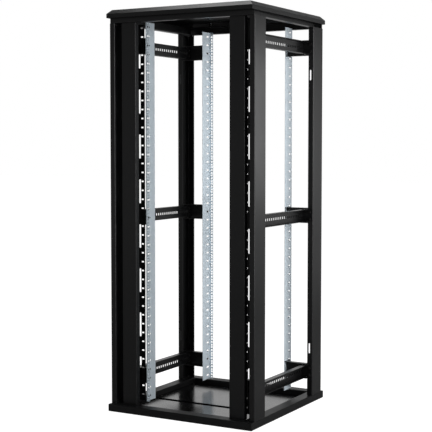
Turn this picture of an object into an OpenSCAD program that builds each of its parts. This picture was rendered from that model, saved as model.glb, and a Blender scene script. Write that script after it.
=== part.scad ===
// Open-frame network rack cabinet with four depth-adjustable 19-inch rails.
// Origin at the middle of the footprint on the floor, front towards -Y, millimetres.

/* [Cabinet] */
// Overall width over the base and the roof
cab_w = 800; // [780:10:1000]
// Overall depth over the base and the roof
cab_d = 800; // [760:10:1200]
// Rack units that the rails hold
rail_units = 42; // [32:1:47]
// Height of the first rack unit above the floor
rail_bottom_z = 46; // [41:1:80]
// Room between the last rack unit and the top of the roof
head_room = 57.1; // [46:0.1:90]

/* [Base] */
// Height of the base beams
base_h = 37; // [30:1:44]
// Sheet thickness of the base beams
base_t = 2; // [1.5:0.1:3]
// Width of the base beams' top flange
base_top_w = 60; // [50:1:66]
// Width of the base beams' bottom flange
base_foot_w = 90; // [84:1:120]
// Height of the floor panels' upper face
floor_z = 10; // [8:0.5:16]
// Sheet thickness of the floor panels
floor_t = 1.5; // [1:0.1:2]
// How far the floor panels tuck under the base beams
floor_tuck = 5; // [2:0.5:8]
// Distance of the cable slot's middle line from the front edge
floor_seam = 322; // [240:1:520]
// Cable slot between the two floor panels
seam_gap = 36; // [2:0.5:44]
// How far the strip under the cable slot reaches under each floor panel
cross_lap = 12; // [6:1:30]
// Side of the square anchor plates in the base corners
anchor_plate_w = 50; // [36:1:50]
// Thickness of the anchor plates
anchor_plate_t = 5; // [3:0.5:8]
// Diameter of the anchor holes
anchor_d = 13; // [9:0.5:16]

/* [Posts] */
// Set-back of the posts from the front and rear edges, which leaves room for a door
post_setback = 27; // [20:1:32]
// Depth of a post's side face
post_depth = 111; // [100:1:130]
// Width of a front post's outer lip and of every post's inner flange
post_lip = 28; // [24:1:29]
// Width of a rear post's outer lip
post_rear_lip = 38; // [28:1:42]
// Sheet thickness of the posts
post_t = 2; // [1.5:0.1:2.5]
// Length of the latch slots in the inner flange
latch_len = 52; // [30:1:70]
// Width of the latch slots
latch_w = 8; // [5:0.5:10]
// Distance of the latch slots from the cabinet's side
latch_in = 16.6; // [14:0.1:18]
// Height of the lower latch slots' middle
latch_low_z = 279; // [250:1:330]
// Distance of the upper latch slots' middle below the roof
latch_drop = 303.5; // [260:0.5:340]
// Thickness of the plates inside the posts' ends
end_plate_t = 4; // [3:0.5:6]

/* [Roof] */
// Height of the roof's upright rim
cover_rim = 20; // [12:1:20]
// Height and width of the roof's sloping edge
cover_slope = 20; // [12:1:20]
// Sheet thickness of the roof
cover_t = 2; // [1.5:0.1:2.5]
// Height of the spacers between the top beams and the roof
spacer_h = 20; // [20:1:26]
// Height of the top beams
ring_h = 42; // [36:1:48]
// Width of the top beams' flanges
ring_w = 32; // [30:1:34]
// Sheet thickness of the top beams
ring_t = 2; // [1.5:0.1:2.5]
// Distance of the side beams inside the cabinet's side
ring_in = 4; // [3:0.5:5]
// Width of the vent opening in the roof
vent_w = 400; // [300:10:440]
// Depth of the vent opening in the roof
vent_d = 300; // [200:10:320]
// Distance of the vent opening from the front edge
vent_front = 150; // [130:5:160]
// Width of the cable opening in the roof
cable_w = 300; // [200:10:400]
// Depth of the cable opening in the roof
cable_d = 110; // [80:5:120]
// Distance of the cable opening from the rear edge
cable_rear = 110; // [110:5:140]
// Rim of each roof plate under the sheet
roof_lap = 15; // [12:1:18]
// Sheet thickness of the roof plates
roof_plate_t = 1.5; // [1:0.1:2]

/* [Front strips and cable plates] */
// Width of a front strip
strip_w = 81; // [60:1:84]
// Distance of a front strip from the cabinet's side
strip_in = 59.5; // [54:0.5:64]
// Set-back of the front strips from the front edge
strip_setback = 41; // [36:1:42]
// Sheet thickness of the strips and cable plates
panel_t = 1.5; // [1:0.1:2]
// Depth of the strips' folded edges
strip_fold = 27; // [8:1:30]
// Depth of the cable plates' folded edge
plate_fold = 8; // [5:0.5:9]
// Step in depth between a cable plate's post edge and its slotted part
plate_step = 12; // [6:0.5:16]
// Open gap between a cable plate and its rail
plate_gap = 37; // [32:0.5:40]
// Length of the long lacing slots
lacing_len = 120; // [80:1:140]
// Width of the long lacing slots
lacing_w = 10; // [6:0.5:10]
// Height of the lowest lacing slot's middle
lacing_first_z = 196.75; // [150:0.25:220]
// Rack units from one lacing slot to the next
lacing_units = 5; // [4:1:7]
// Width of the small tie holes, one for each rack unit
tie_w = 13; // [6:0.5:13]
// Height of the small tie holes
tie_h = 7; // [5:0.5:10]

/* [Rails] */
// Clear opening between the rails
rail_opening = 450; // [450:0.5:456]
// Distance between the two columns of square holes
rail_span = 465.1; // [464:0.1:466]
// Width of a rail's mounting face
rail_face = 20; // [16:0.5:22]
// Depth of a rail's side flange
rail_flange = 80; // [76:0.5:90]
// Sheet thickness of the rails
rail_t = 2; // [1.5:0.1:2]
// Side of the square mounting holes
square_hole = 9.5; // [9:0.1:9.8]
// Length of the slots in the side flange, one for each rack unit
flange_slot_l = 26; // [10:0.5:30]
// Height of the slots in the side flange
flange_slot_h = 9; // [8.6:0.1:10]
// Distance of the flange slots' middle behind the mounting face
flange_slot_in = 26; // [20:0.5:30]
// How far the front rails' mounting face stands in front of the posts' inner flanges
rail_ahead = 31; // [24:0.5:36]
// Distance of the rear rails' mounting face from the rear edge
rail_rear = 62; // [62:0.5:200]

/* [Depth bars and brackets] */
// Height of a depth bar
bar_h = 62; // [50:1:66]
// Width of a depth bar's flanges
bar_w = 30; // [24:1:34]
// Sheet thickness of the bars
bar_t = 2; // [1.5:0.1:2.5]
// Distance of the bars from the cabinet's side
bar_in = 30; // [30:0.5:34]
// Height of the lower bars' middle
bar_low_z = 160; // [120:1:200]
// Height of the middle bars' middle
bar_mid_z = 958; // [600:1:1100]
// Distance of the upper bars' middle below the roof
bar_drop = 167; // [150:1:220]
// Distance of the bars' rear end from the rear edge
bar_rear = 70; // [60:1:90]
// Spacing of the slots along a bar
bar_pitch = 20; // [16:1:30]
// Length of a bar slot
bar_slot_l = 10; // [6:0.5:11]
// Height of a bar slot
bar_slot_h = 12; // [6:0.5:14]
// Thickness of the bars' end cleats
cleat_t = 3; // [2:0.5:4]
// Room above and below a depth bar inside its rail bracket
bracket_room = 4.2; // [3:0.1:10]
// Sheet thickness of a rail bracket
bracket_t = 3; // [2:0.5:4]
// Depth of a bracket's flanges
bracket_d = 25; // [22:1:30]
// Sliding clearance between a bracket and its bar
slide_gap = 0.3; // [0.2:0.1:0.6]

/* [Fasteners] */
// Diameter of the hexagon bolts
bolt_d = 8; // [6:0.5:8]
// Width of the hexagon across its flats
bolt_flats = 13; // [10:0.5:13]
// Height of a bolt head
bolt_head = 5.5; // [4:0.5:6]
// Diameter of the sheet screws
screw_d = 5; // [4:0.5:5]
// Diameter of a sheet screw's head
screw_head_d = 9.5; // [8:0.5:10]
// Height of a sheet screw's head
screw_head = 3; // [2:0.5:3.5]
// Clearance of a bolt or screw all round in its hole
hole_gap = 0.5; // [0.3:0.1:0.6]

/* [Hidden] */
$fn = 48;
coat = "#1b1c1e";
zinc = "#c2cbd1";
black_zinc = "#2e3033";

left = -1;
right = 1;
front = -1;
rear = 1;

// The rack standard: the height of one unit and the holes in it
unit = 44.45;
unit_holes = [6.35, 22.225, 38.1];

// Folds, mitres and cuts
fold_r = 2;
rail_fold_r = 0.7;
joint_gap = 0.1;
mitre = 140;
through = 20;
over = 1;

// Overall heights
half_w = cab_w / 2;
half_d = cab_d / 2;
rail_top_z = rail_bottom_z + rail_units * unit;
cab_h = rail_top_z + head_room;
cover_h = cover_rim + cover_slope;
ring_top_z = cab_h - cover_t - spacer_h;
ring_z = ring_top_z - ring_h;
frame_h = ring_z - base_h;

// How far a screw or bolt stands out behind the last sheet that it passes
screw_grip = 4;
bolt_grip = 4;

// Base and floor
anchor_x = half_w - base_t - fold_r - anchor_plate_w / 2;
anchor_y = half_d - base_t - fold_r - anchor_plate_w / 2;
floor_half_w = half_w - base_top_w + floor_tuck;
floor_half_d = half_d - base_top_w + floor_tuck;
floor_lip_gap = 1;
seam_y = -half_d + floor_seam;
cross_w = seam_gap + 2 * cross_lap;
floor_screw_in = 40;
floor_screw_side = 15;
floor_screw_x = floor_half_w - floor_screw_side;
floor_screw_y = [
    -floor_half_d + floor_screw_in, seam_y - seam_gap / 2 - floor_screw_in,
    seam_y + seam_gap / 2 + floor_screw_in, floor_half_d - floor_screw_in];

// Posts
post_front_y = -half_d + post_setback;
post_inner_y = post_front_y + post_depth;
post_return = 12;
post_bolt_in = 16;
post_bolt_x = half_w - post_bolt_in;
post_bolt_back = [33, 83];
post_bolt_y = [for (back = post_bolt_back) post_front_y + back];
end_plate_gap = 1;

// Top ring and roof
ring_outer_x = half_w - ring_in;
spacer_d = 20;
spacer_in = 150;
spacer_x = half_w - spacer_in;
spacer_y = half_d - post_setback - ring_w / 2;
spacer_places = [for (x = [-spacer_x, spacer_x], y = [-spacer_y, spacer_y]) [x, y]];
vent_y = -half_d + vent_front + vent_d / 2;
vent_columns = 4;
vent_pitch = 14;
vent_slot = 5;
vent_bridge = 20;
vent_rows = floor((vent_d - vent_bridge) / vent_pitch);
vent_screw_places = roof_corners(vent_w, vent_d, vent_y);
cable_y = half_d - cable_rear - cable_d / 2;
cable_screw_places = roof_corners(cable_w, cable_d, cable_y);

// Front strips
strip_tab = 19;
strip_tab_gap = 4;
strip_screw_back = 10;
strip_screw_y = -half_d + strip_setback + strip_screw_back;
strip_screw_x = [half_w - strip_in - strip_w / 4, half_w - strip_in - 3 * strip_w / 4];

// Rails
rail_inner_x = rail_opening / 2;
rail_outer_x = rail_inner_x + rail_face;

// Cable plates
plate_x = rail_outer_x + plate_gap;
plate_side_gap = 8;
plate_outer_x = half_w - plate_side_gap;
plate_back_y = post_inner_y + panel_t;
plate_face_y = post_inner_y + plate_step;
plate_screw_share = [0.2, 0.4, 0.62, 0.8];
plate_screw_z = [for (share = plate_screw_share) base_h + share * frame_h];
tie_in = 10;
tie_x = plate_x + tie_in;
lacing_in = 25;
lacing_x = plate_x + lacing_in;
lacing_slots = 1 + floor((ring_z - lacing_len / 2 - lacing_first_z) / (lacing_units * unit));

// Depth bars
bar_top_z = cab_h - bar_drop;
bar_levels = [bar_low_z, bar_mid_z, bar_top_z];
bar_open_x = half_w - bar_in;
bar_web_x = bar_open_x - bar_w;
plate_joggle_in = 12;
plate_joggle_x = bar_web_x - plate_joggle_in;
bar_front_y = plate_back_y;
bar_rear_y = half_d - bar_rear;
bar_slot_first = 15;
bar_slots = floor((bar_rear_y - bar_front_y - 2 * bar_slot_first) / bar_pitch);
cleat_side_gap = 5;
cleat_x = half_w - cleat_side_gap;
cleat_h = bar_h - 2 * (bar_t + fold_r);
cleat_bolt_in = 15;
cleat_bolt_x = half_w - cleat_bolt_in;
cleat_bolt_dz = 18;

// Rail brackets
bracket_h = bar_h + 2 * (slide_gap + bracket_room + bracket_t);
bracket_clear = 4;
bracket_set = rail_ahead + plate_step + plate_fold + bracket_clear;
bracket_ear = 9;
bracket_bolt_gap = 2;
bracket_bolt_reach = bracket_h / 2 - bracket_t - bolt_flats / 2 - bracket_bolt_gap;
clamp_dz = 16;
clamp_in = 11;
clamp_y = bracket_t + clamp_in;

// Outline of a sheet strip of thickness t that follows a path of right-angled folds.
function heading(path, i) = (path[i + 1] - path[i]) / norm(path[i + 1] - path[i]);
function left_of(v) = [-v[1], v[0]];
function turned(v, a) = [v[0] * cos(a) - v[1] * sin(a), v[0] * sin(a) + v[1] * cos(a)];
function fold_arc(p, d0, d1, radius, off, steps = 4) =
    let(side = d0[0] * d1[1] - d0[1] * d1[0],
        spoke = -left_of(d0) * side,
        middle = p - d0 * radius - spoke * radius)
    [for (i = [0:steps]) middle + turned(spoke, 90 * side * i / steps) * (radius - off * side)];
function edge_line(path, radius, off) = concat(
    [path[0] + left_of(heading(path, 0)) * off],
    [for (i = [1:len(path) - 2])
        each fold_arc(path[i], heading(path, i - 1), heading(path, i), radius, off)],
    [path[len(path) - 1] + left_of(heading(path, len(path) - 2)) * off]);
function unit_middle(k) = rail_bottom_z + (k + 0.5) * unit;
function rail_edge(end) = end == front ? post_setback + post_depth - rail_ahead : rail_rear;
function rail_y(end) = -half_d + rail_edge(end);
function rail_bolt_heights(z) = [
    for (k = [0:rail_units - 1]) if (abs(unit_middle(k) - z) < bracket_bolt_reach) unit_middle(k)];
function roof_corners(w, d, y) = [
    for (i = [-1, 1], j = [-1, 1]) [i * (w + roof_lap) / 2, y + j * (d + roof_lap) / 2]];
function backwards(list) = [for (i = [len(list) - 1:-1:0]) list[i]];

module folded(path, t, inner_r = fold_r) {
    radius = inner_r + t / 2;
    polygon(concat(edge_line(path, radius, t / 2), backwards(edge_line(path, radius, -t / 2))));
}

// A block between two opposite corners.
module block(low, high) {
    translate(low) cube(high - low);
}

// Every piece is drawn at the front right and mirrored to its own corner.
module at_side(side) {
    mirror([side < 0 ? 1 : 0, 0, 0]) children();
}
module at_end(end) {
    mirror([0, end > 0 ? 1 : 0, 0]) children();
}
module along_x(length) {
    translate([-length / 2, 0, 0]) rotate([90, 0, 90]) linear_extrude(length) children();
}
module along_y(y_from, y_to) {
    translate([0, y_to, 0]) rotate([90, 0, 0]) linear_extrude(y_to - y_from) children();
}

// Keeps what lies in front of the 45 degree mitres of a rectangular ring.
module front_mitre(x, y, z) {
    linear_extrude(z) polygon([
        [-x + joint_gap, -y], [x - joint_gap, -y],
        [x - joint_gap - mitre, -y + mitre], [-x + joint_gap + mitre, -y + mitre]]);
}
module side_mitre(x, y, z) {
    linear_extrude(z) polygon([
        [x, -y + joint_gap], [x, y - joint_gap],
        [x - mitre, y - joint_gap - mitre], [x - mitre, -y + joint_gap + mitre]]);
}

// Fasteners stand on z = 0 with the head upwards.
module hex_bolt(reach) {
    cylinder(d = bolt_flats / cos(30), h = bolt_head, $fn = 6);
    translate([0, 0, -reach]) cylinder(d = bolt_d, h = reach);
}
module pan_screw(reach) {
    cylinder(d = screw_head_d, h = screw_head);
    translate([0, 0, -reach]) cylinder(d = screw_d, h = reach);
}
module flush_screw(reach) {
    translate([0, 0, -cover_t]) cylinder(d1 = screw_d, d2 = screw_d + 2 * cover_t, h = cover_t);
    translate([0, 0, -reach]) cylinder(d = screw_d, h = reach);
}
module flush_hole() {
    translate([0, 0, -cover_t - over]) cylinder(d = screw_d + 2 * hole_gap, h = cover_t + 2 * over);
    translate([0, 0, -cover_t])
        cylinder(d1 = screw_d + 2 * hole_gap, d2 = screw_d + 2 * cover_t + 2 * hole_gap, h = cover_t);
}
module hole(d) {
    translate([0, 0, -through]) cylinder(d = d + 2 * hole_gap, h = 2 * through);
}

// Base: four mitred channels with a lip that hides the floor panels' edges.
module base_section(edge) {
    inner = edge + base_top_w - base_t / 2;
    folded([
        [inner, floor_z + floor_lip_gap], [inner, base_h - base_t / 2],
        [edge + base_t / 2, base_h - base_t / 2], [edge + base_t / 2, base_t / 2],
        [edge + base_foot_w, base_t / 2]], base_t);
}
module base_cross_beam(end) {
    color(coat) at_end(end) difference() {
        intersection() {
            along_x(cab_w) base_section(-half_d);
            front_mitre(half_w, half_d, base_h);
        }
        for (side = [left, right]) {
            translate([side * anchor_x, -anchor_y, 0])
                cylinder(d = anchor_d, h = base_h / 2, center = true);
            if (end == front)
                for (x = strip_screw_x)
                    translate([side * x, strip_screw_y, base_h]) hole(screw_d);
        }
    }
}
module base_side_beam(side) {
    color(coat) at_side(side) difference() {
        intersection() {
            along_y(-half_d, half_d) mirror([1, 0, 0]) base_section(-half_w);
            side_mitre(half_w, half_d, base_h);
        }
        for (end = [front, rear]) {
            translate([anchor_x, end * anchor_y, 0]) cylinder(d = anchor_d, h = base_h / 2, center = true);
            for (y = post_bolt_y)
                translate([post_bolt_x, -end * y, base_h]) hole(bolt_d);
        }
        for (y = floor_screw_y)
            translate([floor_screw_x, y, 0]) hole(screw_d);
    }
}
module base_anchor_plates() {
    color(coat) for (side = [left, right], end = [front, rear])
        translate([side * anchor_x, end * anchor_y, base_t + anchor_plate_t / 2]) difference() {
            cube([anchor_plate_w, anchor_plate_w, anchor_plate_t], center = true);
            cylinder(d = anchor_d, h = 2 * anchor_plate_t, center = true);
        }
}

// Floor: two shallow trays on the bottom flanges. A strip closes the cable slot between them from below.
module floor_cross_strip() {
    x = half_w - base_foot_w;
    color(coat) block([-x, seam_y - cross_w / 2, 0], [x, seam_y + cross_w / 2, base_t]);
}
module floor_tray(y_from, y_to) {
    middle = (y_from + y_to) / 2;
    spread = (y_to - y_from) / 2 - floor_screw_in;
    color(coat) difference() {
        block([-floor_half_w, y_from, base_t], [floor_half_w, y_to, floor_z]);
        block([-floor_half_w + floor_t, y_from + floor_t, 0],
            [floor_half_w - floor_t, y_to - floor_t, floor_z - floor_t]);
        for (side = [left, right], end = [front, rear])
            translate([side * floor_screw_x, middle + end * spread, floor_z]) hole(screw_d);
    }
}
module floor_front_panel() {
    floor_tray(-floor_half_d, seam_y - seam_gap / 2);
}
module floor_rear_panel() {
    floor_tray(seam_y + seam_gap / 2, floor_half_d);
}
module floor_screws() {
    color(black_zinc) for (side = [left, right], y = floor_screw_y)
        translate([side * floor_screw_x, y, floor_z]) pan_screw(floor_z - joint_gap);
}

// Posts: folded channels that are open towards the bay.
module post(side, end) {
    outer = half_w - post_t / 2;
    lip = half_w - (end == front ? post_lip : post_rear_lip) + post_t / 2;
    color(coat) at_side(side) at_end(end) difference() {
        translate([0, 0, base_h]) linear_extrude(frame_h) folded([
            [lip, post_front_y + post_return], [lip, post_front_y + post_t / 2],
            [outer, post_front_y + post_t / 2], [outer, post_inner_y - post_t / 2],
            [half_w - post_lip, post_inner_y - post_t / 2]], post_t);
        for (z = [latch_low_z, cab_h - latch_drop])
            translate([half_w - latch_in, post_inner_y, z]) upright_slot(latch_w, latch_len);
        for (z = bar_levels, dz = [-cleat_bolt_dz, cleat_bolt_dz])
            translate([cleat_bolt_x, post_inner_y, z + dz]) rotate([90, 0, 0]) hole(bolt_d);
        if (end == front)
            for (z = plate_screw_z)
                translate([cleat_bolt_x, post_inner_y, z]) rotate([90, 0, 0]) hole(screw_d);
    }
}
// A round-ended slot along Y that is cut along Z, and the same slot upright in a cross sheet.
module round_slot(w, length) {
    cube([w, length - w, through], center = true);
    for (end = [-1, 1])
        translate([0, end * (length - w) / 2, 0]) cylinder(d = w, h = through, center = true);
}
module upright_slot(w, length) {
    rotate([90, 0, 0]) round_slot(w, length);
}
module post_end_plates() {
    low = [half_w - post_lip + post_t + end_plate_gap, post_front_y + post_return + end_plate_gap, 0];
    high = [half_w, post_inner_y, 0] - (post_t + fold_r + end_plate_gap) * [1, 1, 0] + [0, 0, end_plate_t];
    color(coat) for (side = [left, right], end = [front, rear], z = [base_h, ring_z - end_plate_t])
        at_side(side) at_end(end) translate([0, 0, z]) difference() {
            block(low, high);
            for (y = post_bolt_y)
                translate([post_bolt_x, y, 0]) hole(bolt_d);
        }
}
module post_bolts() {
    color(black_zinc) for (side = [left, right], end = [front, rear], y = post_bolt_y)
        at_side(side) at_end(end) {
            translate([post_bolt_x, y, base_h + end_plate_t]) hex_bolt(end_plate_t + base_t + bolt_grip);
            translate([post_bolt_x, y, ring_z - end_plate_t]) rotate([180, 0, 0])
                hex_bolt(end_plate_t + ring_t + bolt_grip);
        }
}

// Top beams: a mitred ring of channels. The cross beams are open towards the bay, the side beams outwards.
module top_section(web, edge) {
    folded([
        [edge, ring_top_z - ring_t / 2], [web, ring_top_z - ring_t / 2],
        [web, ring_z + ring_t / 2], [edge, ring_z + ring_t / 2]], ring_t);
}
module top_cross_beam(end) {
    color(coat) at_end(end) difference() {
        intersection() {
            along_x(cab_w) top_section(post_front_y + ring_t / 2, post_front_y + ring_w);
            front_mitre(ring_outer_x, -post_front_y, cab_h);
        }
        for (side = [left, right]) {
            translate([side * spacer_x, -spacer_y, ring_top_z]) hole(screw_d);
            if (end == front)
                for (x = strip_screw_x)
                    translate([side * x, strip_screw_y, ring_z]) hole(screw_d);
        }
    }
}
module top_side_beam(side) {
    color(coat) at_side(side) difference() {
        intersection() {
            along_y(-half_d, half_d) top_section(ring_outer_x - ring_w + ring_t / 2, ring_outer_x);
            side_mitre(ring_outer_x, -post_front_y, cab_h);
        }
        for (end = [front, rear], y = post_bolt_y)
            translate([post_bolt_x, -end * y, ring_z]) hole(bolt_d);
    }
}

// Roof: a sheet cap with an upright rim and a sloping edge, on four spacers.
module roof_section(x, low, high, slope) {
    polygon([
        [-x, low], [x, low], [x, high - slope],
        [x - slope, high], [-x + slope, high], [-x, high - slope]]);
}
module roof_block(x, y, low, high, slope) {
    intersection() {
        along_y(-y, y) roof_section(x, low, high, slope);
        along_x(2 * x) roof_section(y, low, high, slope);
    }
}
module roof_cover() {
    inner_slope = cover_slope - cover_t * (2 - sqrt(2));
    low = cab_h - cover_h;
    color(coat) difference() {
        roof_block(half_w, half_d, low, cab_h, cover_slope);
        roof_block(half_w - cover_t, half_d - cover_t, low - over, cab_h - cover_t, inner_slope);
        translate([0, vent_y, cab_h]) cube([vent_w, vent_d, 4 * cover_t], center = true);
        translate([0, cable_y, cab_h]) cube([cable_w, cable_d, 4 * cover_t], center = true);
        for (at = concat(spacer_places, vent_screw_places, cable_screw_places))
            translate([at[0], at[1], cab_h]) flush_hole();
    }
}
module roof_spacers() {
    color(black_zinc) for (at = spacer_places)
        translate([at[0], at[1], ring_top_z]) difference() {
            cylinder(d = spacer_d, h = spacer_h);
            translate([0, 0, -over]) cylinder(d = screw_d + 2 * hole_gap, h = spacer_h + 2 * over);
        }
}
module roof_screws() {
    color(black_zinc) for (at = spacer_places)
        translate([at[0], at[1], cab_h]) flush_screw(cover_t + spacer_h + ring_t + screw_grip);
}
module roof_plate(w, d, y, places) {
    difference() {
        translate([0, y, cab_h - cover_t - roof_plate_t / 2])
            cube([w + 2 * roof_lap, d + 2 * roof_lap, roof_plate_t], center = true);
        for (at = places)
            translate([at[0], at[1], cab_h]) hole(screw_d);
    }
}
module roof_vent_plate() {
    color(coat) difference() {
        roof_plate(vent_w, vent_d, vent_y, vent_screw_places);
        for (i = [0:vent_columns - 1], j = [0:vent_rows - 1])
            translate([(i - (vent_columns - 1) / 2) * vent_w / vent_columns,
                    vent_y + (j - (vent_rows - 1) / 2) * vent_pitch, cab_h - cover_t])
                cube([vent_w / vent_columns - vent_bridge, vent_slot, 4 * roof_plate_t], center = true);
    }
}
module roof_cable_plate() {
    color(coat) roof_plate(cable_w, cable_d, cable_y, cable_screw_places);
}
module roof_plate_screws() {
    color(black_zinc) for (at = concat(vent_screw_places, cable_screw_places))
        translate([at[0], at[1], cab_h]) flush_screw(cover_t + roof_plate_t + screw_grip);
}

// Front strips: flat covers with folded edges and a foot and head tab.
module front_strip(side) {
    outer = half_w - strip_in - panel_t / 2;
    inner = outer - strip_w + panel_t;
    face = -half_d + strip_setback;
    color(coat) at_side(side) difference() {
        union() {
            translate([0, 0, base_h]) linear_extrude(frame_h) folded([
                [outer, face + strip_fold], [outer, face + panel_t / 2],
                [inner, face + panel_t / 2], [inner, face + strip_fold]], panel_t);
            for (z = [base_h, ring_z - panel_t])
                block([inner + strip_tab_gap, face + panel_t / 2, z],
                    [outer - strip_tab_gap, face + strip_tab, z + panel_t]);
        }
        for (x = strip_screw_x, z = [base_h, ring_z])
            translate([x, strip_screw_y, z]) hole(screw_d);
    }
}
module strip_screws() {
    color(black_zinc) for (side = [left, right], x = strip_screw_x) {
        translate([side * x, strip_screw_y, base_h + panel_t]) pan_screw(panel_t + base_t + screw_grip);
        translate([side * x, strip_screw_y, ring_z - panel_t]) rotate([180, 0, 0])
            pan_screw(panel_t + ring_t + screw_grip);
    }
}

// Cable plates: stepped and slotted sheets between the front posts and the front rails.
module cable_plate(side) {
    edge = post_inner_y + panel_t / 2;
    middle = plate_face_y + panel_t / 2;
    color(coat) at_side(side) difference() {
        translate([0, 0, base_h]) linear_extrude(frame_h) folded([
            [plate_x + panel_t / 2, plate_face_y + plate_fold], [plate_x + panel_t / 2, middle],
            [plate_joggle_x, middle], [plate_joggle_x, edge], [plate_outer_x, edge]], panel_t);
        for (k = [0:lacing_slots - 1])
            translate([lacing_x, middle, lacing_first_z + k * lacing_units * unit])
                upright_slot(lacing_w, lacing_len);
        for (k = [0:rail_units - 1])
            translate([tie_x, middle, unit_middle(k)]) cube([tie_w, 2 * panel_t, tie_h], center = true);
        for (z = bar_levels, dz = [-cleat_bolt_dz, cleat_bolt_dz])
            translate([cleat_bolt_x, edge, z + dz]) rotate([90, 0, 0]) hole(bolt_d);
        for (z = plate_screw_z)
            translate([cleat_bolt_x, edge, z]) rotate([90, 0, 0]) hole(screw_d);
    }
}
module plate_screws() {
    color(black_zinc) for (side = [left, right], z = plate_screw_z)
        translate([side * cleat_bolt_x, plate_back_y, z]) rotate([-90, 0, 0])
            pan_screw(panel_t + post_t + screw_grip);
}

// Depth bars: slotted channels, open outwards, with a cleat welded across them at each post.
module depth_bar(side, z) {
    flange = (bar_h - bar_t) / 2;
    color(coat) at_side(side) difference() {
        along_y(bar_front_y, bar_rear_y) folded([
            [bar_open_x, z + flange], [bar_web_x + bar_t / 2, z + flange],
            [bar_web_x + bar_t / 2, z - flange], [bar_open_x, z - flange]], bar_t);
        for (i = [0:bar_slots])
            translate([bar_web_x, bar_front_y + bar_slot_first + i * bar_pitch, z])
                cube([4 * bar_t, bar_slot_l, bar_slot_h], center = true);
    }
}
module bar_cleats() {
    color(coat) for (side = [left, right], z = bar_levels, y = [bar_front_y, -post_inner_y - cleat_t])
        at_side(side) difference() {
            block([bar_web_x + bar_t, y, z - cleat_h / 2], [cleat_x, y + cleat_t, z + cleat_h / 2]);
            for (dz = [-cleat_bolt_dz, cleat_bolt_dz])
                translate([cleat_bolt_x, y, z + dz]) rotate([90, 0, 0]) hole(bolt_d);
        }
}
module bar_bolts() {
    color(black_zinc) for (side = [left, right], z = bar_levels, dz = [-cleat_bolt_dz, cleat_bolt_dz]) {
        translate([side * cleat_bolt_x, bar_front_y + cleat_t, z + dz]) rotate([-90, 0, 0])
            hex_bolt(cleat_t + panel_t + post_t + bolt_grip);
        translate([side * cleat_bolt_x, -post_inner_y - cleat_t, z + dz]) rotate([90, 0, 0])
            hex_bolt(cleat_t + post_t + bolt_grip);
    }
}

// Rails: zinc angles with three square holes for each rack unit in the mounting face. The rear
// rails are the front rails' part turned half round, so every flange runs towards the middle.
module rail(side, end) {
    middle = rail_y(end) + rail_t / 2;
    flange = rail_outer_x - rail_t / 2;
    color(zinc) at_side(side) at_end(end) difference() {
        translate([0, 0, rail_bottom_z]) linear_extrude(rail_units * unit)
            folded([[rail_inner_x, middle], [flange, middle], [flange, rail_y(end) + rail_flange]],
                rail_t, rail_fold_r);
        for (k = [0:rail_units - 1]) {
            translate([flange, rail_y(end) + flange_slot_in, unit_middle(k)]) rotate([0, 90, 0])
                round_slot(flange_slot_h, flange_slot_l);
            for (dz = unit_holes)
                translate([rail_span / 2, middle, rail_bottom_z + k * unit + dz])
                    cube([square_hole, 2 * rail_t, square_hole], center = true);
        }
    }
}

// Rail brackets: trays that straddle a depth bar, with an ear along the rail's side flange.
module bracket(side, end, z) {
    back = rail_y(end) + bracket_set;
    tab = bar_web_x - slide_gap;
    low = z - bracket_h / 2;
    high = z + bracket_h / 2;
    color(coat) at_side(side) at_end(end) difference() {
        union() {
            difference() {
                block([rail_outer_x, back, low], [bar_open_x, back + bracket_t, high]);
                block([tab, back - over, z - bar_h / 2 - slide_gap],
                    [bar_open_x + over, back + bracket_t + over, z + bar_h / 2 + slide_gap]);
            }
            for (level = [low, high - bracket_t])
                block([rail_outer_x, back, level], [bar_open_x, back + bracket_d, level + bracket_t]);
            block([tab - bracket_t, back, low], [tab, back + bracket_d, high]);
            block([rail_outer_x, rail_y(end) + flange_slot_in - bracket_ear, low],
                [rail_outer_x + bracket_t, back + bracket_t, high]);
        }
        for (bolt_z = rail_bolt_heights(z))
            translate([rail_outer_x, rail_y(end) + flange_slot_in, bolt_z]) rotate([0, 90, 0]) hole(bolt_d);
        for (dz = [-clamp_dz, clamp_dz])
            translate([tab, back + clamp_y, z + dz]) rotate([0, 90, 0]) hole(bolt_d);
    }
}
module fixings(side, end) {
    color(black_zinc) at_side(side) at_end(end) for (z = bar_levels) {
        for (bolt_z = rail_bolt_heights(z))
            translate([rail_outer_x + bracket_t, rail_y(end) + flange_slot_in, bolt_z]) rotate([0, 90, 0])
                hex_bolt(bracket_t + rail_t);
        for (dz = [-clamp_dz, clamp_dz])
            translate([bar_web_x - slide_gap - bracket_t, rail_y(end) + bracket_set + clamp_y, z + dz])
                rotate([0, -90, 0]) hex_bolt(bracket_t);
    }
}

base_cross_beam(front);  // base_front_beam
base_cross_beam(rear);  // base_rear_beam
base_side_beam(left);  // base_left_beam
base_side_beam(right);  // base_right_beam
base_anchor_plates();
floor_cross_strip();
floor_front_panel();
floor_rear_panel();
floor_screws();
post(left, front);  // post_front_left
post(right, front);  // post_front_right
post(left, rear);  // post_rear_left
post(right, rear);  // post_rear_right
post_end_plates();
post_bolts();
top_cross_beam(front);  // top_front_beam
top_cross_beam(rear);  // top_rear_beam
top_side_beam(left);  // top_left_beam
top_side_beam(right);  // top_right_beam
roof_cover();
roof_spacers();
roof_screws();
roof_vent_plate();
roof_cable_plate();
roof_plate_screws();
front_strip(left);  // front_strip_left
front_strip(right);  // front_strip_right
strip_screws();
cable_plate(left);  // cable_plate_left
cable_plate(right);  // cable_plate_right
plate_screws();
depth_bar(left, bar_low_z);  // depth_bar_left_low
depth_bar(left, bar_mid_z);  // depth_bar_left_mid
depth_bar(left, bar_top_z);  // depth_bar_left_top
depth_bar(right, bar_low_z);  // depth_bar_right_low
depth_bar(right, bar_mid_z);  // depth_bar_right_mid
depth_bar(right, bar_top_z);  // depth_bar_right_top
bar_cleats();
bar_bolts();
rail(left, front);  // rail_front_left
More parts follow.
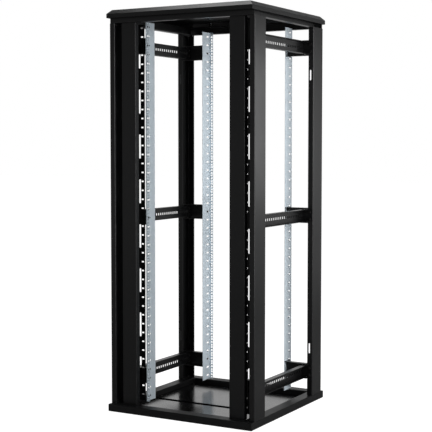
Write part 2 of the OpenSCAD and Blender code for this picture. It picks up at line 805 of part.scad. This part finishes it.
bracket(left, front, bar_low_z);  // bracket_front_left_low
bracket(left, front, bar_mid_z);  // bracket_front_left_mid
bracket(left, front, bar_top_z);  // bracket_front_left_top
fixings(left, front);  // fixings_front_left
rail(right, front);  // rail_front_right
bracket(right, front, bar_low_z);  // bracket_front_right_low
bracket(right, front, bar_mid_z);  // bracket_front_right_mid
bracket(right, front, bar_top_z);  // bracket_front_right_top
fixings(right, front);  // fixings_front_right
rail(left, rear);  // rail_rear_left
bracket(left, rear, bar_low_z);  // bracket_rear_left_low
bracket(left, rear, bar_mid_z);  // bracket_rear_left_mid
bracket(left, rear, bar_top_z);  // bracket_rear_left_top
fixings(left, rear);  // fixings_rear_left
rail(right, rear);  // rail_rear_right
bracket(right, rear, bar_low_z);  // bracket_rear_right_low
bracket(right, rear, bar_mid_z);  // bracket_rear_right_mid
bracket(right, rear, bar_top_z);  // bracket_rear_right_top
fixings(right, rear);  // fixings_rear_right
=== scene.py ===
import math

import bpy
import numpy as np
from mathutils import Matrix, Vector


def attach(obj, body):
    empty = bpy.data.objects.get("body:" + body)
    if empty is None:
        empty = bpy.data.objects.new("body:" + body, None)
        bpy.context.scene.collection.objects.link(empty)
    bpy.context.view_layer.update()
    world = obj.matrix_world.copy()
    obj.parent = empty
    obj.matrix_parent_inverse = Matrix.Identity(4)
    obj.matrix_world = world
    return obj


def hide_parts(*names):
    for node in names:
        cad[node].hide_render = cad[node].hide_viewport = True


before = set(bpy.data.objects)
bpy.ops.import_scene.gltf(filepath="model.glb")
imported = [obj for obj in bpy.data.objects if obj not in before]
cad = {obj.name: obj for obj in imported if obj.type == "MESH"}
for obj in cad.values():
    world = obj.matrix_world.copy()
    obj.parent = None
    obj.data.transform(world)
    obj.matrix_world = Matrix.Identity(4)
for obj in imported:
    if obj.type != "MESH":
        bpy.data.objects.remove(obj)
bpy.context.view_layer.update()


# Base beams: four channels of 2 mm steel sheet, folded and mitred into a plinth ring that stands on the
# floor. The corners are welded, and the ring is powder coated in semi-gloss black before the frame is
# bolted together.
COAT_BLACK = (0.0026, 0.0027, 0.0029, 1.0)
COAT_GREY = (0.0046, 0.0047, 0.0051, 1.0)
COAT_CLOUD_SCALE = 7.0
COAT_CLOUD_DETAIL = 3.0
COAT_CLOUD_RANGE = (0.3, 0.7)
PEEL_SCALE = 420.0
PEEL_DETAIL = 2.0
PEEL_STRENGTH = 0.35
MM = 0.001


def add(tree, kind, **values):
    """A shader node of that kind. Each value sets the socket of its name, with _ for a space, or else a
    property."""
    made = tree.nodes.new(kind)
    for key, value in values.items():
        socket = key.replace("_", " ")
        if socket in made.inputs:
            made.inputs[socket].default_value = value
        else:
            setattr(made, key, value)
    return made


def spread(tree, limits, to_low, to_high, easing="LINEAR"):
    """A map range node: the part of a value between two limits, spread from one result to the other."""
    return add(tree, "ShaderNodeMapRange", interpolation_type=easing, From_Min=limits[0], From_Max=limits[1],
               To_Min=to_low, To_Max=to_high)


def blend_colours(tree, first, second):
    """A mix node that goes from the first colour to the second."""
    made = add(tree, "ShaderNodeMix", data_type="RGBA")
    made.inputs["A"].default_value = first
    made.inputs["B"].default_value = second
    return made


def powder_coat(name, low_rough, high_rough, peel_mm, mirror_index):
    """Black powder coat: two near-blacks and two roughnesses mixed by a slow cloud, with a fine bump like
    orange peel."""
    coat = bpy.data.materials.new(name)
    coat.use_nodes = True
    tree = coat.node_tree
    shader = tree.nodes["Principled BSDF"]
    shader.inputs["IOR"].default_value = mirror_index
    place = add(tree, "ShaderNodeTexCoord")
    cloud = add(tree, "ShaderNodeTexNoise", Scale=COAT_CLOUD_SCALE, Detail=COAT_CLOUD_DETAIL)
    peel = add(tree, "ShaderNodeTexNoise", Scale=PEEL_SCALE, Detail=PEEL_DETAIL)
    tone = blend_colours(tree, COAT_BLACK, COAT_GREY)
    rough = spread(tree, COAT_CLOUD_RANGE, low_rough, high_rough)
    bump = add(tree, "ShaderNodeBump", Strength=PEEL_STRENGTH, Distance=peel_mm * MM)
    link = tree.links.new
    link(place.outputs["Object"], cloud.inputs["Vector"])
    link(place.outputs["Object"], peel.inputs["Vector"])
    link(cloud.outputs["Fac"], tone.inputs["Factor"])
    link(cloud.outputs["Fac"], rough.inputs["Value"])
    link(peel.outputs["Fac"], bump.inputs["Height"])
    link(tone.outputs["Result"], shader.inputs["Base Color"])
    link(rough.outputs["Result"], shader.inputs["Roughness"])
    link(bump.outputs["Normal"], shader.inputs["Normal"])
    return coat


def dress(material, *names):
    """Puts one material on every slot of the named CAD nodes."""
    for name in names:
        slots = cad[name].data.materials
        slots.clear()
        slots.append(material)


base_coat = powder_coat("base_coat", low_rough=0.42, high_rough=0.50, peel_mm=0.06, mirror_index=1.34)
dress(base_coat, "base_front_beam", "base_rear_beam", "base_left_beam", "base_right_beam",
      "base_anchor_plates")


# Floor panels: two shallow trays of 1.5 mm sheet on the base beams' bottom flanges, with a cable slot
# between them that a strip closes below. Their coat is the smoothest of the cabinet, as wide sheet lies
# level in the oven.
floor_coat = powder_coat("floor_coat", low_rough=0.16, high_rough=0.22, peel_mm=0.03, mirror_index=1.6)
dress(floor_coat, "floor_front_panel", "floor_rear_panel", "floor_cross_strip")


# Corner posts: 2 mm channels with an outer lip, a deep side face and an inner flange with latch slots.
# Plates welded into both ends take the bolts from the base ring and the top ring.
frame_coat = powder_coat("frame_coat", low_rough=0.30, high_rough=0.36, peel_mm=0.05, mirror_index=1.38)
dress(frame_coat, "post_front_left", "post_front_right", "post_rear_left", "post_rear_right",
      "post_end_plates")


# Top ring: four channels of 2 mm steel, mitred like the base and bolted on the posts' end plates. The
# cross beams open to the bay and the side beams open outwards. The ring is coated together with the posts.
dress(frame_coat, "top_front_beam", "top_rear_beam", "top_left_beam", "top_right_beam")


# Roof: a 2 mm sheet cap with a rim and a sloping edge, on four spacers, with a slotted vent plate and a
# blank cable plate screwed under its two openings. The three are powder coated before they are put together.
dress(frame_coat, "roof_cover", "roof_vent_plate", "roof_cable_plate")


# Front strips: folded cover strips of 1.5 mm sheet on both sides of the opening, screwed to the base and the
# top ring. Their coat is a little duller than the frame's, as thin sheet leaves the oven with more texture.
strip_coat = powder_coat("strip_coat", low_rough=0.36, high_rough=0.44, peel_mm=0.05, mirror_index=1.38)
dress(strip_coat, "front_strip_left", "front_strip_right")


# Cable plates: stepped sheets with a ladder of slots for cable ties, beside the front rails. They are
# punched, folded twice, coated like the strips and screwed to the front posts' inner flanges.
dress(strip_coat, "cable_plate_left", "cable_plate_right")


# Depth bars: slotted channels with a cleat welded across each end, three on each side. The cleats are
# bolted to the front and rear posts.
SIDES = ("left", "right")
LEVELS = ("low", "mid", "top")
dress(frame_coat, *[f"depth_bar_{side}_{level}" for side in SIDES for level in LEVELS], "bar_cleats")


# Rails: angles of 2 mm steel with the rack standard's square holes in the face and one slot for each unit
# in the side flange, zinc plated. The rear rails are the same part as the front rails, turned half round.
ZINC_PALE = (0.712, 0.795, 0.853, 1.0)
ZINC_BLUE = (0.640, 0.730, 0.800, 1.0)
ZINC_METAL = 0.25
ZINC_ROUGH = (0.48, 0.62)
CRYSTAL_SCALE = 160.0
STREAK_SCALE = 600.0
STREAK_DETAIL = 2.0
STREAK_RANGE = (0.25, 0.75)
STREAK_STRENGTH = 0.2
STREAK_DEEP = 0.00004
ROLLING_STRETCH = (1.0, 1.0, 0.02)


def zinc_plate(name):
    """Bright zinc: pale and bluish crystals mixed by cells of about 6 mm, with fine streaks along the
    rolling."""
    zinc = bpy.data.materials.new(name)
    zinc.use_nodes = True
    tree = zinc.node_tree
    shader = tree.nodes["Principled BSDF"]
    shader.inputs["Metallic"].default_value = ZINC_METAL
    place = add(tree, "ShaderNodeTexCoord")
    rolling = add(tree, "ShaderNodeMapping", Scale=ROLLING_STRETCH)
    crystals = add(tree, "ShaderNodeTexVoronoi", Scale=CRYSTAL_SCALE)
    streaks = add(tree, "ShaderNodeTexNoise", Scale=STREAK_SCALE, Detail=STREAK_DETAIL)
    tone = blend_colours(tree, ZINC_BLUE, ZINC_PALE)
    rough = spread(tree, STREAK_RANGE, *ZINC_ROUGH)
    bump = add(tree, "ShaderNodeBump", Strength=STREAK_STRENGTH, Distance=STREAK_DEEP)
    link = tree.links.new
    link(place.outputs["Object"], crystals.inputs["Vector"])
    link(place.outputs["Object"], rolling.inputs["Vector"])
    link(rolling.outputs["Vector"], streaks.inputs["Vector"])
    link(crystals.outputs["Color"], tone.inputs["Factor"])
    link(streaks.outputs["Fac"], rough.inputs["Value"])
    link(streaks.outputs["Fac"], bump.inputs["Height"])
    link(tone.outputs["Result"], shader.inputs["Base Color"])
    link(rough.outputs["Result"], shader.inputs["Roughness"])
    link(bump.outputs["Normal"], shader.inputs["Normal"])
    return zinc


rail_zinc = zinc_plate("rail_zinc")
rails = [f"{end}_{side}" for end in ("front", "rear") for side in SIDES]
dress(rail_zinc, *[f"rail_{rail}" for rail in rails])


# Rail brackets: trays of 3 mm steel that straddle a depth bar and carry a rail. Bolts clamp them to the
# bar, and once these are loosened the rail slides in depth with its three brackets.
dress(frame_coat, *[f"bracket_{rail}_{level}" for rail in rails for level in LEVELS])


# Fasteners: M8 hexagon bolts for the posts, bars and brackets, and 5 mm domed and countersunk screws for
# the sheet parts. They are cold formed in steel with a rolled thread, and plated in black zinc like the
# four turned spacers that carry the roof. Flats, discs, rims and shanks are radii in metres.
BOLT_SHANK = 0.004
BOLT_FLAT = 0.0065
BOLT_DISC = 0.0061
BOLT_HEAD = 0.0055
BOLT_WASHER = 0.0006
BOLT_CHAMFER = math.radians(30)
BOLT_PITCH = 0.00125
SCREW_SHANK = 0.0025
SCREW_PITCH = 0.0016
DOME_RIM = 0.00475
DOME_HEAD = 0.003
DOME_ROWS = 10
CONE_RIM = 0.0045
CONE_HEAD = 0.002
CONE_ROWS = 8
FIRST_ROW = 0.12
RECESS_ARM = 0.0026
RECESS_WIDE = 0.0006
RECESS_DEEP = 0.0012
THREAD_DEEP = 0.14
THREAD_ROWS = 4
TIP_FROM = 0.85
TIP_TAPER = 0.25
AROUND = 24
SHARP_EDGE = math.radians(32)
END_BAND = 0.00001
MERGE_DIGITS = 6
PLATE_BLACK = (0.020, 0.021, 0.025, 1.0)
PLATE_BRONZE = (0.040, 0.037, 0.032, 1.0)
PLATE_METAL = 0.8
PLATE_ROUGH = (0.28, 0.44)
PLATE_CLOUD_SCALE = 240.0
PLATE_CLOUD_DETAIL = 3.0
SPECK_SCALE = 1500.0
SPECK_DETAIL = 2.0
SPECK_RANGE = (0.3, 0.7)
ALONG_X, ALONG_Y, ALONG_Z = 0, 1, 2


def black_zinc(name):
    """Black zinc plate: a blue-black and a faint bronze mixed by a cloud of about 4 mm, with finer specks of
    roughness."""
    plate = bpy.data.materials.new(name)
    plate.use_nodes = True
    tree = plate.node_tree
    shader = tree.nodes["Principled BSDF"]
    shader.inputs["Metallic"].default_value = PLATE_METAL
    place = add(tree, "ShaderNodeTexCoord")
    cloud = add(tree, "ShaderNodeTexNoise", Scale=PLATE_CLOUD_SCALE, Detail=PLATE_CLOUD_DETAIL)
    specks = add(tree, "ShaderNodeTexNoise", Scale=SPECK_SCALE, Detail=SPECK_DETAIL)
    tone = blend_colours(tree, PLATE_BLACK, PLATE_BRONZE)
    rough = spread(tree, SPECK_RANGE, *PLATE_ROUGH)
    link = tree.links.new
    link(place.outputs["Object"], cloud.inputs["Vector"])
    link(place.outputs["Object"], specks.inputs["Vector"])
    link(cloud.outputs["Fac"], tone.inputs["Factor"])
    link(specks.outputs["Fac"], rough.inputs["Value"])
    link(tone.outputs["Result"], shader.inputs["Base Color"])
    link(rough.outputs["Result"], shader.inputs["Roughness"])
    return plate


def fastener_places(node, along):
    """Head centre, outward sign and length of each solid in a CAD node. Corners that share a triangle take
    the lowest number among them until nothing changes, so every solid ends with one number. The head is the
    end whose corners stand further from the solid's own middle line."""
    mesh = cad[node].data
    loose = np.empty(len(mesh.vertices) * 3)
    mesh.vertices.foreach_get("co", loose)
    corners = np.empty(len(mesh.loops), dtype=np.int64)
    mesh.loops.foreach_get("vertex_index", corners)
    points, merged = np.unique(loose.reshape(-1, 3).round(MERGE_DIGITS), axis=0, return_inverse=True)
    triangles = merged.ravel()[corners].reshape(-1, 3)
    owner = np.arange(len(points))
    settled = np.full_like(owner, -1)
    while not np.array_equal(owner, settled):
        settled = owner.copy()
        np.minimum.at(owner, triangles, owner[triangles].min(axis=1, keepdims=True))
    solid = np.unique(owner, return_inverse=True)[1].ravel()
    count = solid.max() + 1
    low = np.full((count, 3), np.inf)
    high = np.full((count, 3), -np.inf)
    np.minimum.at(low, solid, points)
    np.maximum.at(high, solid, points)
    across = points - ((low + high) / 2)[solid]
    span = across[:, along].copy()
    across[:, along] = 0.0
    at_end = np.abs(span) > (high - low)[solid, along] / 2 - END_BAND
    side = (span > 0).astype(int)
    wide = np.zeros((2, count))
    np.maximum.at(wide, (side[at_end], solid[at_end]), np.linalg.norm(across[at_end], axis=1))
    outward = np.where(wide[1] > wide[0], 1.0, -1.0)
    head = (low + high) / 2
    head[:, along] = np.where(outward > 0, high[:, along], low[:, along])
    return head, outward, high[:, along] - low[:, along]


def hexagon_head(turn):
    """Rows of radius and depth from a bolt's top to its washer face. The flats stand at their distance over
    the cosine of the turn from their own middle, and a cone from the top disc trims the corners."""
    sixth = np.pi / 3
    flats = BOLT_FLAT / np.cos((turn + sixth / 2) % sixth - sixth / 2)
    disc = np.full_like(turn, BOLT_DISC)
    seat = np.full_like(turn, BOLT_HEAD)
    washer = seat - BOLT_WASHER
    radius = np.stack([disc, flats, flats, disc, disc])
    depth = np.stack([seat * 0, (flats - disc) * math.tan(BOLT_CHAMFER), washer, washer, seat])
    return radius, depth, 0.0


def cross_recess(radius, turn):
    """Depth of the recess: a groove along each of two crossed lines, deepest on the line and ending at the
    arm."""
    off_line = np.minimum(np.abs(radius * np.cos(turn)), np.abs(radius * np.sin(turn)))
    groove = np.clip(1 - off_line / RECESS_WIDE, 0, 1)
    return RECESS_DEEP * groove * np.clip((RECESS_ARM - radius) / RECESS_WIDE, 0, 1)


def domed_head(turn):
    """Rows from a screw's top to its rim: the depth is the head's height times one minus the root of one
    minus the cube of the radius share, which is nearly flat on top and upright at the rim, with the recess
    sunk into it."""
    share = np.linspace(FIRST_ROW, 1.0, DOME_ROWS)[:, None]
    radius = DOME_RIM * share + 0 * turn
    dome = DOME_HEAD * (1 - np.sqrt(1 - share ** 3))
    return radius, dome + cross_recess(radius, turn), RECESS_DEEP


def countersunk_head(turn):
    """Rows from a screw's flat top to its sharp rim, with the recess sunk in. The shank's first row ends the
    cone."""
    radius = CONE_RIM * np.linspace(FIRST_ROW, 1.0, CONE_ROWS)[:, None] + 0 * turn
    return radius, cross_recess(radius, turn), RECESS_DEEP


def form_fasteners(node, body, along, head, head_deep, shank, pitch):
    """Every fastener of a CAD node in one mesh: rings of radius and depth about each middle line, first the
    head's and then the shank's. The thread is a ridge that falls and rises once for each pitch of depth plus
    turn, so it winds along the shank, and the tip tapers. One point closes each end."""
    top, outward, length = fastener_places(node, along)
    count = len(top)
    turn = np.arange(AROUND) * 2 * np.pi / AROUND
    head_radius, head_depth, sunk = head(turn)
    reach = (length - head_deep)[:, None, None]
    steps = int(np.ceil(reach.max() / pitch * THREAD_ROWS))
    run = np.linspace(0.0, 1.0, steps + 1)[None, :, None]
    shank_depth = head_deep + run * reach + 0 * turn
    ridge = np.abs(2 * ((shank_depth / pitch + turn / (2 * np.pi)) % 1) - 1)
    taper = 1 - TIP_TAPER * np.clip((run - TIP_FROM) / (1 - TIP_FROM), 0, 1)
    shank_radius = shank * (1 - THREAD_DEEP * ridge) * taper
    heads = (count, *head_radius.shape)
    radius = np.concatenate([np.broadcast_to(head_radius, heads), shank_radius], axis=1)
    depth = np.concatenate([np.broadcast_to(head_depth, heads), shank_depth], axis=1)
    ahead = np.zeros((count, 3))
    ahead[:, along] = outward
    aside = np.zeros((count, 3))
    aside[:, (along + 1) % 3] = 1.0
    third = np.cross(ahead, aside)
    rim = np.cos(turn)[:, None] * aside[:, None, :] + np.sin(turn)[:, None] * third[:, None, :]
    middles = top[:, None, None, :] - depth[..., None] * ahead[:, None, None, :]
    rings = middles + radius[..., None] * rim[:, None]
    first = top - sunk * ahead
    last = top - length[:, None] * ahead
    points = np.concatenate([first[:, None], rings.reshape(count, -1, 3), last[:, None]], axis=1)
    rows = radius.shape[1]
    here = 1 + np.arange(rows)[:, None] * AROUND + np.arange(AROUND)
    beside = np.roll(here, -1, axis=1)
    quads = np.stack([here[:-1], here[1:], beside[1:], beside[:-1]], axis=-1).reshape(-1, 4)
    tip = np.full(AROUND, 1 + rows * AROUND)
    fans = np.concatenate([np.stack([tip * 0, here[0], beside[0]], axis=-1),
                           np.stack([tip, beside[-1], here[-1]], axis=-1)])
    step = np.arange(count)[:, None, None] * points.shape[1]
    faces = (quads + step).reshape(-1, 4).tolist() + (fans + step).reshape(-1, 3).tolist()
    mesh = bpy.data.meshes.new(f"{node}_formed")
    mesh.from_pydata(points.reshape(-1, 3).tolist(), [], faces)
    mesh.shade_smooth()
    mesh.set_sharp_from_angle(angle=SHARP_EDGE)
    mesh.materials.append(bolt_black)
    piece = bpy.data.objects.new(f"{node}_formed", mesh)
    bpy.context.scene.collection.objects.link(piece)
    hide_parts(node)
    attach(piece, body)


bolt_black = black_zinc("bolt_black")
dress(bolt_black, "roof_spacers")
hexagon_bolt = (hexagon_head, BOLT_HEAD, BOLT_SHANK, BOLT_PITCH)
domed_screw = (domed_head, DOME_HEAD, SCREW_SHANK, SCREW_PITCH)
countersunk_screw = (countersunk_head, CONE_HEAD, SCREW_SHANK, SCREW_PITCH)
form_fasteners("post_bolts", "frame", ALONG_Z, *hexagon_bolt)
form_fasteners("bar_bolts", "frame", ALONG_Y, *hexagon_bolt)
for rail in rails:
    form_fasteners(f"fixings_{rail}", f"{rail}_rail", ALONG_X, *hexagon_bolt)
form_fasteners("floor_screws", "frame", ALONG_Z, *domed_screw)
form_fasteners("strip_screws", "frame", ALONG_Z, *domed_screw)
form_fasteners("plate_screws", "frame", ALONG_Y, *domed_screw)
form_fasteners("roof_screws", "frame", ALONG_Z, *countersunk_screw)
form_fasteners("roof_plate_screws", "frame", ALONG_Z, *countersunk_screw)


# Studio floor: a wide pale sheet of paper that the cabinet stands on. The camera sees it white, with a faint
# soft shadow, and glossy faces see it brighten away from the cabinet.
FLOOR_HALF = 30.0
FLOOR_DROP = 0.0006
FLOOR_GREY = (0.4, 0.4, 0.4, 1.0)
FLOOR_WHITE = 0.91
FLOOR_GLOW = 0.48
GLOW_RANGE = (2.5, 8.0)
WHITE = (1.0, 1.0, 1.0, 1.0)
floor_corners = FLOOR_HALF * np.array([(-1, -1, 0), (1, -1, 0), (1, 1, 0), (-1, 1, 0)]) - (0, 0, FLOOR_DROP)
floor_mesh = bpy.data.meshes.new("studio_floor")
floor_mesh.from_pydata(floor_corners.tolist(), [], [(0, 1, 2, 3)])
studio_floor = bpy.data.objects.new("studio_floor", floor_mesh)
bpy.context.scene.collection.objects.link(studio_floor)
paper = bpy.data.materials.new("studio_paper")
paper.use_nodes = True
tree = paper.node_tree
tree.nodes.clear()
ray = add(tree, "ShaderNodeLightPath")
matt = add(tree, "ShaderNodeBsdfDiffuse", Color=FLOOR_GREY)
white = add(tree, "ShaderNodeEmission", Color=WHITE)
lift = add(tree, "ShaderNodeMath", operation="MULTIPLY")
lift.inputs[1].default_value = FLOOR_WHITE
place = add(tree, "ShaderNodeTexCoord")
away = add(tree, "ShaderNodeVectorMath", operation="LENGTH")
glow = spread(tree, GLOW_RANGE, 0.0, FLOOR_GLOW, "SMOOTHSTEP")
shiny = add(tree, "ShaderNodeMath", operation="MAXIMUM")
mirrored = add(tree, "ShaderNodeMath", operation="MULTIPLY")
total = add(tree, "ShaderNodeMath", operation="ADD")
both = add(tree, "ShaderNodeAddShader")
out = add(tree, "ShaderNodeOutputMaterial")
link = tree.links.new
link(ray.outputs["Is Camera Ray"], lift.inputs[0])
link(place.outputs["Object"], away.inputs[0])
link(away.outputs["Value"], glow.inputs["Value"])
link(ray.outputs["Is Glossy Ray"], shiny.inputs[0])
link(ray.outputs["Is Transmission Ray"], shiny.inputs[1])
link(shiny.outputs[0], mirrored.inputs[0])
link(glow.outputs["Result"], mirrored.inputs[1])
link(lift.outputs[0], total.inputs[0])
link(mirrored.outputs[0], total.inputs[1])
link(total.outputs[0], white.inputs["Strength"])
link(matt.outputs[0], both.inputs[0])
link(white.outputs[0], both.inputs[1])
link(both.outputs[0], out.inputs["Surface"])
floor_mesh.materials.append(paper)


# Studio light: a room that darkens towards the ceiling, with a white backdrop behind the cabinet that glossy
# faces mirror, and soft boxes overhead, in front, at the right and close behind the right side.
BACKDROP_WAY = (-0.49, 0.86, 0.14)
BACKDROP_EDGE = (0.84, 0.95)
BACKDROP_GLOW = 0.75
ROOM_WALLS = 0.34
ROOM_CEILING = 0.06
CEILING_RISE = (0.02, 0.34)
ROOM_FILL = 0.26
ROOM_WHITE = 1.0
world = bpy.data.worlds.new("studio_room")
bpy.context.scene.world = world
world.use_nodes = True
tree = world.node_tree
room = tree.nodes["Background"]
room.inputs["Color"].default_value = WHITE
ray = add(tree, "ShaderNodeLightPath")
way = add(tree, "ShaderNodeTexCoord")
facing = add(tree, "ShaderNodeVectorMath", operation="DOT_PRODUCT")
facing.inputs[1].default_value = BACKDROP_WAY
split = add(tree, "ShaderNodeSeparateXYZ")
backdrop = spread(tree, BACKDROP_EDGE, 0.0, BACKDROP_GLOW, "SMOOTHSTEP")
walls = spread(tree, CEILING_RISE, ROOM_WALLS, ROOM_CEILING, "SMOOTHSTEP")
mirrored = add(tree, "ShaderNodeMath", operation="ADD")
shiny = add(tree, "ShaderNodeMath", operation="MAXIMUM")
seen = add(tree, "ShaderNodeMix", data_type="FLOAT")
level = add(tree, "ShaderNodeMix", data_type="FLOAT")
seen.inputs[2].default_value = ROOM_FILL
level.inputs[3].default_value = ROOM_WHITE
link = tree.links.new
link(way.outputs["Generated"], facing.inputs[0])
link(way.outputs["Generated"], split.inputs[0])
link(facing.outputs["Value"], backdrop.inputs["Value"])
link(split.outputs["Z"], walls.inputs["Value"])
link(walls.outputs["Result"], mirrored.inputs[0])
link(backdrop.outputs["Result"], mirrored.inputs[1])
link(ray.outputs["Is Glossy Ray"], shiny.inputs[0])
link(ray.outputs["Is Transmission Ray"], shiny.inputs[1])
link(shiny.outputs[0], seen.inputs[0])
link(mirrored.outputs[0], seen.inputs[3])
link(ray.outputs["Is Camera Ray"], level.inputs[0])
link(seen.outputs[0], level.inputs[2])
link(level.outputs[0], room.inputs["Strength"])


def soft_box(name, place, aim, width, height, watts):
    """A rectangular lamp at a place, turned to a point, that the camera doesn't see."""
    lamp = bpy.data.lights.new(name, "AREA")
    lamp.shape = "RECTANGLE"
    lamp.size = width
    lamp.size_y = height
    lamp.energy = watts
    box = bpy.data.objects.new(name, lamp)
    box.location = place
    box.rotation_euler = (Vector(aim) - Vector(place)).to_track_quat("-Z", "Y").to_euler()
    box.visible_camera = False
    bpy.context.scene.collection.objects.link(box)


soft_box("overhead_box", (-0.7, -0.05, 4.4), aim=(-0.7, -0.05, 0.0), width=1.9, height=1.7, watts=45.0)
soft_box("front_box", (4.2, -3.6, 2.2), aim=(0.0, 0.0, 1.0), width=1.6, height=2.2, watts=80.0)
soft_box("right_box", (5.0, -1.0, 1.4), aim=(0.0, 0.0, 1.0), width=2.4, height=2.4, watts=150.0)
soft_box("side_box", (1.70, 1.36, 1.48), aim=(0.55, -0.39, 1.38), width=1.0, height=1.0, watts=7.5)


# Camera: about five and a half metres away, to the right of the cabinet's front and at two thirds of its
# height, looking slightly down through a long lens, with a small shift of the frame.
CAMERA_PLACE = (2.7754, -4.9108, 1.3263)
CAMERA_TURN = 29.606
CAMERA_DOWN = 3.293
LENS_MM = 93.54
SENSOR_MM = 36.0
FRAME_SHIFT = -0.02
lens = bpy.data.cameras.new("photo_camera")
lens.lens = LENS_MM
lens.sensor_width = SENSOR_MM
lens.shift_y = FRAME_SHIFT
lens.dof.use_dof = False
camera = bpy.data.objects.new("photo_camera", lens)
camera.location = CAMERA_PLACE
camera.rotation_euler = (math.radians(90 - CAMERA_DOWN), 0.0, math.radians(CAMERA_TURN))
bpy.context.scene.collection.objects.link(camera)
bpy.context.scene.camera = camera
bpy.context.scene.view_settings.view_transform = "Standard"
